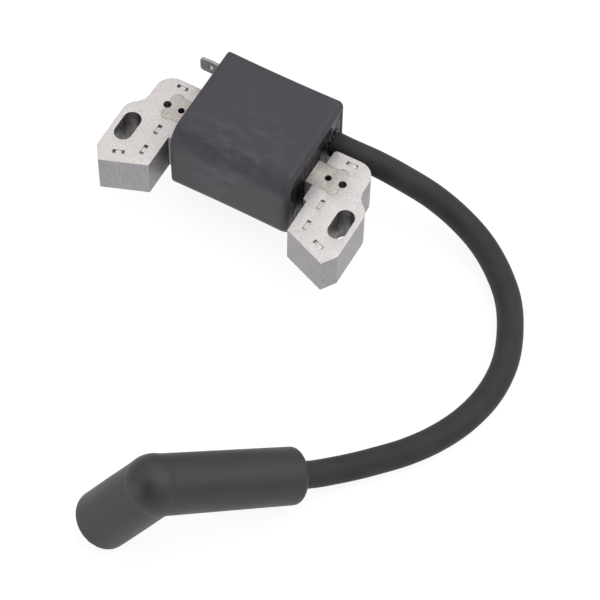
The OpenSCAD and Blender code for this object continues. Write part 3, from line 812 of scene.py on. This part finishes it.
def roundedSection(corners, inset, cornerSteps, flatSteps):
    # corners are (y, z, radius), anticlockwise, and the whole outline is set in by inset
    least = 0.02 * mm
    count = len(corners)
    moved = []
    for i, (y, z, radius) in enumerate(corners):
        here = Vector((y, z))
        back = (here - Vector(corners[i - 1][:2])).normalized()
        ahead = (Vector(corners[(i + 1) % count][:2]) - here).normalized()
        n1, n2 = Vector((-back.y, back.x)), Vector((-ahead.y, ahead.x))
        moved.append((here + inset * (n1 + n2) / (1 + n1.dot(n2)), max(radius - inset, least),
                      back, ahead, n1))
    arcs = []
    for place, radius, back, ahead, n1 in moved:
        turn = math.atan2(back.x * ahead.y - back.y * ahead.x, back.dot(ahead))
        start = place - back * radius * math.tan(turn / 2)
        centre = start + n1 * radius
        spoke = start - centre
        arcs.append([centre + Matrix.Rotation(turn * k / cornerSteps, 2) @ spoke
                     for k in range(cornerSteps + 1)])
    points = []
    for i, arc in enumerate(arcs):
        points += arc
        following = arcs[(i + 1) % count][0]
        points += [arc[-1].lerp(following, k / flatSteps) for k in range(1, flatSteps)]
    return points


def caseCorners(s):
    low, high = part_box("coil_case")
    slopeIn = (s["slopeTop"] - low.z) * math.tan(math.radians(s["slopeTurn"]))
    return [(low.y, s["slopeTop"], s["slopeEdge"]), (low.y + slopeIn, low.z, s["footEdge"]),
            (high.y, low.z, s["backEdge"]), (high.y, high.z, s["backEdge"]),
            (low.y, high.z, s["shoulder"])]


def boxMesh(low, high):
    bm = bmesh.new()
    bmesh.ops.create_cube(bm, size=1)
    for vert in bm.verts:
        vert.co = [low[i] + (high[i] - low[i]) * (vert.co[i] + 0.5) for i in range(3)]
    return bm


def cutWith(piece, cutters):
    for bm in cutters:
        cutter = fromBmesh("cutter", bm, None)
        modifier = piece.modifiers.new("cut", "BOOLEAN")
        modifier.operation = "DIFFERENCE"
        modifier.solver = "EXACT"
        modifier.object = cutter
        bake(piece)
        bpy.data.objects.remove(cutter)


def bake(piece):
    # applies every modifier
    shown = piece.evaluated_get(bpy.context.evaluated_depsgraph_get())
    mesh = bpy.data.meshes.new_from_object(shown)
    piece.modifiers.clear()
    piece.data = mesh


def makeCase(s):
    low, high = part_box("coil_case")
    corners = caseCorners(s)
    middle = Vector((0, (low.y + high.y) / 2, (low.z + high.z) / 2))

    def ring(x, inset, sunk=0):
        points = roundedSection(corners, inset, s["cornerSteps"], s["flatSteps"])
        return [Vector((x, p.x, p.y)).lerp(Vector((x, middle.y, middle.z)), sunk) for p in points]

    quarter = [math.radians(a) for a in (0, 22, 45, 68, 90)]
    lipTurn = [math.radians(15 * k) for k in range(7)]
    end, lip, inner = s["endEdge"], s["lipOuter"], s["lipInner"]
    rings = [ring(low.x + end * (1 - math.cos(a)), end * (1 - math.sin(a))) for a in quarter]
    length = high.x - lip - (low.x + end)
    for k in range(1, s["lengthSteps"]):
        share = k / s["lengthSteps"]
        sunk = s["sink"] * 4 * share * (1 - share)
        rings.append(ring(low.x + end + length * share, 0, sunk))
    rings += [ring(high.x - lip * (1 - math.sin(a)), lip * (1 - math.cos(a))) for a in lipTurn]
    rings += [ring(high.x - inner * (1 - math.cos(a)), lip + inner * math.sin(a))
              for a in quarter]
    rings.append(ring(high.x - s["lipDepth"], lip + inner))
    rings.append(ring(high.x - s["lipDepth"] - s["lipStep"], s["wall"]))
    rings.append(ring(low.x + s["wall"], s["wall"]))
    piece = fromBmesh("caseShell", loft(rings), materials["caseNylon"], 40)
    barLow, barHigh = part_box("core_bar")
    bladeLow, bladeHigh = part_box("stop_terminal")
    gap, slit = s["barGap"], s["bladeSlit"]
    cutWith(piece, [
        boxMesh((low.x - mm, barLow.y - gap, barLow.z - gap),
                (0, barHigh.y + gap, barHigh.z + gap)),
        boxMesh((low.x - mm, bladeLow.y - slit, bladeLow.z - slit),
                (low.x + 2 * s["wall"], bladeHigh.y + slit, bladeHigh.z + slit))])
    smoothShade(piece.data, 40)
    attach(piece, "coil")
    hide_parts("coil_case")


# the resin's open face: wrinkled where it cured, and drawn up the walls, bar and lead

resinSetup = {
    "recess": 0.45 * mm,
    "spacing": 0.35 * mm,
    "rimSteps": (6, 10),      # points round each corner and along each side
    "barSteps": 12,
    "leadSides": 40,
    "climb": 0.3 * mm,        # height of the meniscus
    "climbWidth": 0.9 * mm,
    "wrinkle": 0.22 * mm,
    "wrinkleSize": 2.2 * mm,
    "wrinkleStretch": 2.5,
    "wrinkleSeed": 3.7,
    "calmWidth": 1.2 * mm,    # no wrinkles against the walls
    "lipRoom": 0.06 * mm,     # how far the skin stays below the case's end
    "rimRoom": 0.02 * mm,
    "thickness": 0.35 * mm,
}


def makeResinSkin(s, case):
    low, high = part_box("coil_case")
    barLow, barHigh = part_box("core_bar")
    inset = case["lipOuter"] + case["lipInner"] + s["rimRoom"]
    leadMiddle = Vector(leadSetup["route"][0][1:]) * mm
    radius = leadSetup["diameter"] / 2
    rim = roundedSection(caseCorners(case), inset, *s["rimSteps"])
    leadRing = circle(leadMiddle, Vector((1, 0)), Vector((0, 1)), radius, s["leadSides"])
    barCorners = [Vector((barLow.y, barLow.z)), Vector((barHigh.y, barLow.z)),
                  Vector((barHigh.y, barHigh.z)), Vector((barLow.y, barHigh.z))]
    barRing = [a.lerp(b, k / s["barSteps"])
               for a, b in zip(barCorners, barCorners[1:] + barCorners[:1])
               for k in range(s["barSteps"])]
    points, edges = [], []
    for ring in (rim, leadRing, barRing):
        first, count = len(points), len(ring)
        points += ring
        edges += [(first + k, first + (k + 1) % count) for k in range(count)]

    def nearest(p):
        toRim = min((p - q).length for q in rim)
        toLead = abs((p - leadMiddle).length - radius)
        y = max(barLow.y - p.x, p.x - barHigh.y, 0)
        z = max(barLow.z - p.y, p.y - barHigh.z, 0)
        return min(toRim, toLead, math.hypot(y, z))

    def inOpen(p, margin):
        # clear of the lead and the bar
        inBar = (barLow.y - margin < p.x < barHigh.y + margin
                 and barLow.z - margin < p.y < barHigh.z + margin)
        return (p - leadMiddle).length > radius + margin and not inBar

    for i in range(int((high.z - low.z) / s["spacing"])):
        for k in range(int((high.y - low.y) / s["spacing"])):
            p = Vector((low.y + (k + 0.5 * (i % 2)) * s["spacing"], low.z + i * s["spacing"]))
            if inOpen(p, s["spacing"] / 3):
                points.append(p)
    made = delaunay_2d_cdt(points, edges, [], 1, 1e-7)
    flat, faces = made[0], made[2]
    base = high.x - s["recess"]
    size = s["wrinkleSize"]
    bm = bmesh.new()
    verts = []
    for p in flat:
        near = nearest(p)
        climb = s["climb"] * math.exp(-near / s["climbWidth"])
        where = Vector((p.x / size, p.y / (s["wrinkleStretch"] * size), s["wrinkleSeed"]))
        fold = noise.fractal(where, 0.8, 2.1, 3) * min(1, near / s["calmWidth"])
        height = min(climb + s["wrinkle"] * fold, s["recess"] - s["lipRoom"])
        verts.append(bm.verts.new((base + height, p.x, p.y)))
    for face in faces:
        middle = sum((flat[v] for v in face), Vector((0, 0))) / len(face)
        if inOpen(middle, -0.001 * radius):
            bm.faces.new([verts[v] for v in face])
    bmesh.ops.delete(bm, geom=[v for v in bm.verts if not v.link_faces], context="VERTS")
    bmesh.ops.recalc_face_normals(bm, faces=bm.faces)
    if sum(f.normal.x for f in bm.faces) < 0:
        bmesh.ops.reverse_faces(bm, faces=bm.faces)
    grown = bmesh.ops.extrude_face_region(bm, geom=bm.faces[:])
    for part in grown["geom"]:
        if isinstance(part, bmesh.types.BMVert):
            part.co.x = base - s["thickness"]
    bmesh.ops.recalc_face_normals(bm, faces=bm.faces)
    piece = fromBmesh("resinFace", bm, materials["resin"], 60)
    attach(piece, "coil")


# the boot: a long leg on the lead and a short one for the plug, blended at a round elbow

bootSetup = {
    "knuckle": 7.8 * mm,
    "longRoot": 7.62 * mm,
    "longTip": 7.3 * mm,
    "longLength": 39.9 * mm,
    "longEdge": 1.1 * mm,
    "mouthRoot": 7.68 * mm,
    "mouthRadius": 7.8 * mm,
    "mouthFlare": 14 * mm,    # how far along the short leg it reaches its full size
    "mouthLength": 24.1 * mm,
    "mouthEdge": 0.6 * mm,
    "leadBore": 3.58 * mm,
    "grip": 4.6 * mm,
    "clipRoom": 4.8 * mm,
    "gripFrom": 16.2 * mm,
    "gripStep": 0.2 * mm,
    "chamfer": 0.4 * mm,
    "voxel": 0.32 * mm,
    "softening": 7,
    "around": 72,
    "ballSteps": 24,
}


def roundEdge(along, radius, edge):
    # a quarter round in six steps, from a leg's side to its end
    return [(along - edge * (1 - math.sin(a)), radius - edge * (1 - math.cos(a)))
            for a in (math.radians(15 * k) for k in range(7))]


def makeBoot(s, elbow, leadAxis, mouthAxis):
    ball = [(-s["knuckle"] * math.cos(a), s["knuckle"] * math.sin(a))
            for a in (math.pi * k / s["ballSteps"] for k in range(s["ballSteps"] + 1))]
    parts = [
        turned([(0, s["longRoot"])] + roundEdge(s["longLength"], s["longTip"], s["longEdge"]),
               elbow, leadAxis, s["around"]),
        turned(ball, elbow, leadAxis, s["around"]),
        turned([(0, s["mouthRoot"]), (s["mouthFlare"], s["mouthRadius"])]
               + roundEdge(s["mouthLength"], s["mouthRadius"], s["mouthEdge"]),
               elbow, mouthAxis, s["around"]),
    ]
    piece = fromBmesh("plugBoot", joined(parts), materials["bootRubber"], 60)
    remesh = piece.modifiers.new("blend", "REMESH")
    remesh.mode = "VOXEL"
    remesh.voxel_size = s["voxel"]
    soften = piece.modifiers.new("soften", "SMOOTH")
    soften.factor = 0.5
    soften.iterations = s["softening"]
    bake(piece)
    past = 2 * mm
    cutWith(piece, [
        turned([(-mm, s["leadBore"]), (s["longLength"] + past, s["leadBore"])],
               elbow, leadAxis, s["around"]),
        turned([(-mm, s["clipRoom"]), (s["gripFrom"] - s["gripStep"], s["clipRoom"]),
                (s["gripFrom"], s["grip"]),
                (s["mouthLength"] - s["chamfer"], s["grip"]),
                (s["mouthLength"] + past, s["grip"] + s["chamfer"] + past)],
               elbow, mouthAxis, s["around"])])
    smoothShade(piece.data, 45)
    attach(piece, "boot")
    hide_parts("plug_boot")
    return piece


# floor and light

lightSetup = {
    "zenith": 1.6,
    "horizon": 0.35,
    "darkSide": (0.1, -0.75, 0.6),
    "darkLevel": 0.2,
    "darkEdge": (0.55, 0.95), # where the dark side starts and is full
    "floor": "#6c6c6c",
    "floorFleck": "#6e6e6e",
    "floorSize": 4,
    "floorGlow": 0.88,        # a lit sheet, so that shadows on it stay faint
    "aim": (0.02, -0.03, 0),
    "key": {"place": (0.6, 0.15, 0.9), "size": 1, "power": 3.4},
    "fill": {"place": (-0.5, -0.8, 0.25), "size": 0.6, "power": 1.8},
    "side": {"place": (0.8, -0.8, 0.15), "size": 0.5, "power": 0.8},
}


def makeLight(name, s, aim):
    data = bpy.data.lights.new(name, "AREA")
    data.size = s["size"]
    data.energy = s["power"]
    light = bpy.data.objects.new(name, data)
    light.location = s["place"]
    light.rotation_euler = (Vector(aim) - Vector(s["place"])).to_track_quat("-Z", "Y").to_euler()
    bpy.context.collection.objects.link(light)


def makeWorld(s):
    # bright overhead, dim at the horizon, and dark on one side, as behind a black curtain
    world = bpy.data.worlds.new("studio")
    world.use_nodes = True
    tree = world.node_tree
    where = addNode(tree, "ShaderNodeTexCoord")
    parts = addNode(tree, "ShaderNodeSeparateXYZ", {}, {0: where.outputs["Generated"]})
    level = addNode(tree, "ShaderNodeMapRange", {"To Min": s["horizon"], "To Max": s["zenith"]},
                    {"Value": parts.outputs[2]})
    darkWay = Vector(s["darkSide"]).normalized()
    facing = addNode(tree, "ShaderNodeVectorMath", {"operation": "DOT_PRODUCT", 1: darkWay},
                     {0: where.outputs["Generated"]})
    openShare = addNode(tree, "ShaderNodeMapRange",
                        {"From Min": s["darkEdge"][0], "From Max": s["darkEdge"][1],
                         "To Min": 1, "To Max": s["darkLevel"]}, {"Value": facing.outputs["Value"]})
    light = addNode(tree, "ShaderNodeMath", {"operation": "MULTIPLY"}, {0: level, 1: openShare})
    tree.links.new(light.outputs[0], tree.nodes["Background"].inputs[1])
    tree.nodes["Background"].inputs[0].default_value = (1, 1, 1, 1)
    bpy.context.scene.world = world


def makeStage(s):
    bm = bmesh.new()
    bmesh.ops.create_grid(bm, x_segments=2, y_segments=2, size=s["floorSize"] / 2)
    material, tree = startMaterial("studioPaper")
    tone = grain(tree, 60 * mm)
    addShader(tree, {"Roughness": 0.9, "Emission Color": (1, 1, 1, 1),
                     "Emission Strength": s["floorGlow"]},
              {"Base Color": tinted(tree, tone, (0.3, 0.7), s["floor"], s["floorFleck"])})
    floor = fromBmesh("studioFloor", bm, material)
    makeWorld(s)
    for name in ("key", "fill", "side"):
        makeLight(name, s[name], s["aim"])
    bpy.context.scene.view_settings.view_transform = "Standard"


makeCamera(cameraSetup)
swivel = next(j for j in record["behaviour"]["joints"] if j["name"] == "boot_swivel")
plugMouth = next(m for m in record["mounts"] if m["name"] == "plug_mouth")
elbow, leadAxis = Vector(swivel["pos_m"]), Vector(swivel["axis"]).normalized()
mouthAxis = Vector(plugMouth["axis"]).normalized()

for node, key in nodeMaterials.items():
    mesh = nodes[node].data
    mesh.materials.clear()
    mesh.materials.append(materials[key])

lead, leadPath = makeLead(leadSetup, leadAxis)
print("lead made")

trees = {"plates": plateStackTree(), "marks": markTree()}
for pieceName, own in coreStacks.items():
    makeCoreStack(pieceName, coreSetup, own, trees)
print("core stacks made")

makeCase(caseSetup)
makeResinSkin(resinSetup, caseSetup)
print("case and resin made")

boot = makeBoot(bootSetup, elbow, leadAxis, mouthAxis)
print("boot made")

makeStage(lightSetup)
print("stage made")
